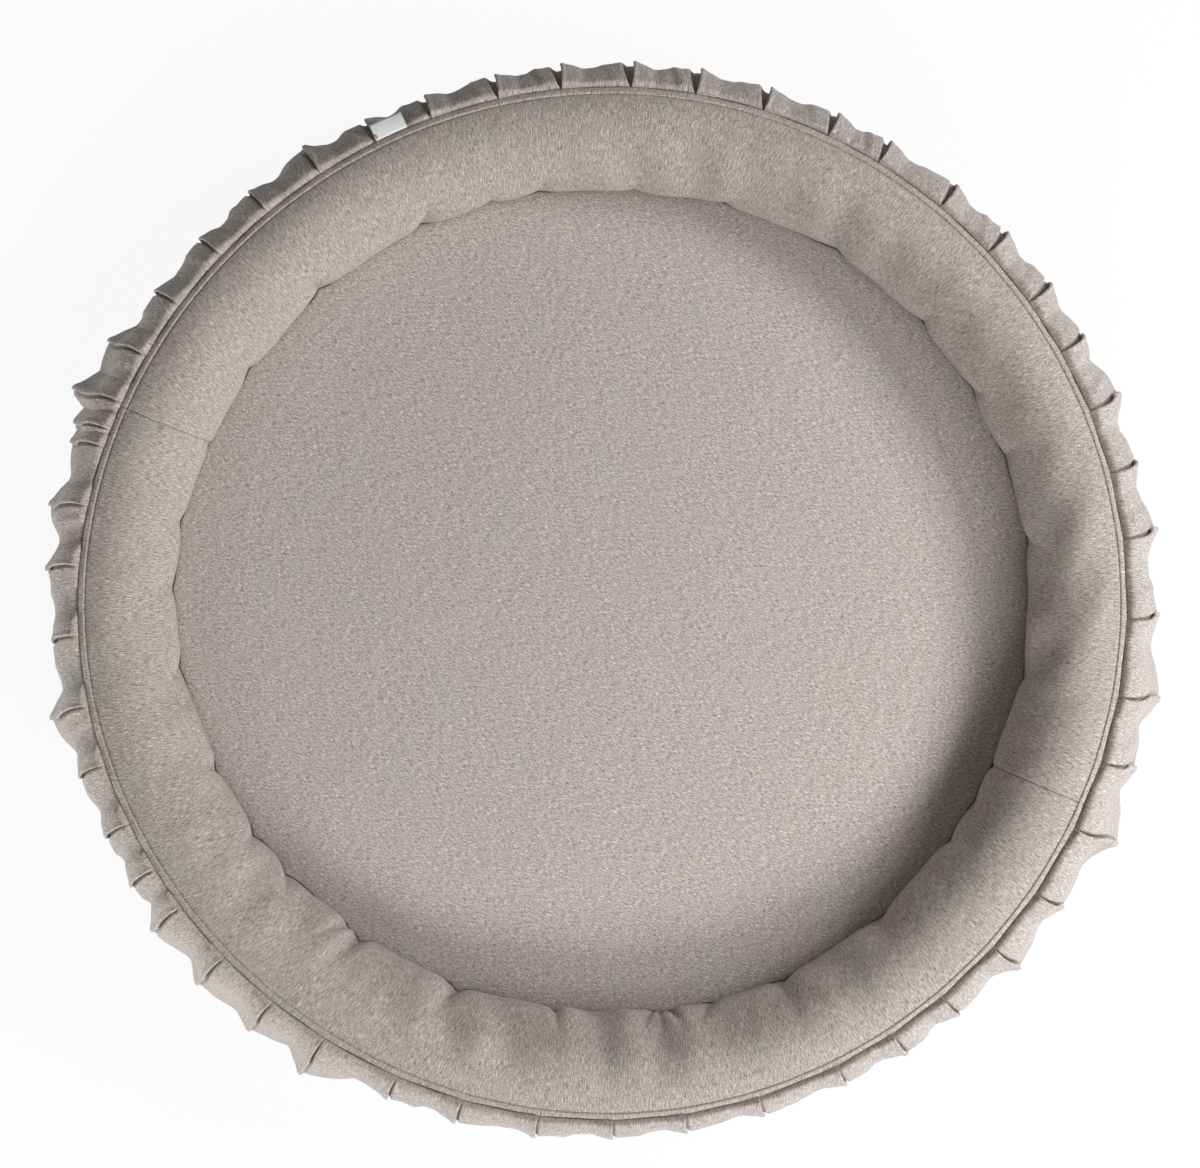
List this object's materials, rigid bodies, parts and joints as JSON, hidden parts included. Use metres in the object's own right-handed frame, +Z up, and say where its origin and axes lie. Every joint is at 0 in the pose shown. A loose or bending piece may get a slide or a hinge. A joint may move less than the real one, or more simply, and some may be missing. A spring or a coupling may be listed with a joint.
{
  "type": "round infant floor lounger",
  "caption": "Round padded infant nest with a flat foam floor, a stuffed ring bolster, a knife-pleated skirt to the ground and a zip underneath.",
  "frame": {"origin": "on the floor under the middle of the base", "axes": "+Z up from the floor, +X along the zip and the slightly longer width"},
  "size_m": [1.2158, 1.1915, 0.122],
  "materials": {
    "cover_fabric": "brushed melange sweatshirt fabric",
    "lining_fabric": "plain woven cotton",
    "filling": "polyester fibre filling",
    "foam": "soft polyurethane foam",
    "label_tape": "blank satin tape",
    "zip_tape": "woven tape",
    "zip_chain": "nylon coil",
    "zip_metal": "satin nickel"
  },
  "bodies": {
    "root": {"floor_panel": "cover_fabric", "mattress_core": "foam", "rim_panel_lower": "cover_fabric", "rim_panel_upper": "cover_fabric", "outer_wall_lower": "lining_fabric", "outer_wall_upper": "lining_fabric", "divider_band": "lining_fabric", "bolster_core": "filling", "base_panel_front": "lining_fabric", "base_panel_back": "lining_fabric", "skirt_strip_1": "cover_fabric", "skirt_strip_2": "cover_fabric", "skirt_strip_3": "cover_fabric", "skirt_strip_4": "cover_fabric", "label": "label_tape", "zip_tape_front": "zip_tape", "zip_tape_back": "zip_tape", "zip_chain_front": "zip_chain", "zip_chain_back": "zip_chain", "zip_stop_start": "zip_metal", "zip_stop_end": "zip_metal"},
    "zip_slider": {"zip_slider": "zip_metal"},
    "zip_pull": {"zip_pull": "zip_metal"}
  },
  "joints": [
    {"name": "zip_slider_travel", "type": "slide", "parent": "root", "child": "zip_slider", "axis": [-1, 0, 0], "range_m": [0, 0.766]},
    {"name": "zip_pull_swing", "type": "hinge", "parent": "zip_slider", "child": "zip_pull", "pos_m": [0.38307, 0, 0.00465], "axis": [0, -1, 0], "range_deg": [0, 180]}
  ]
}
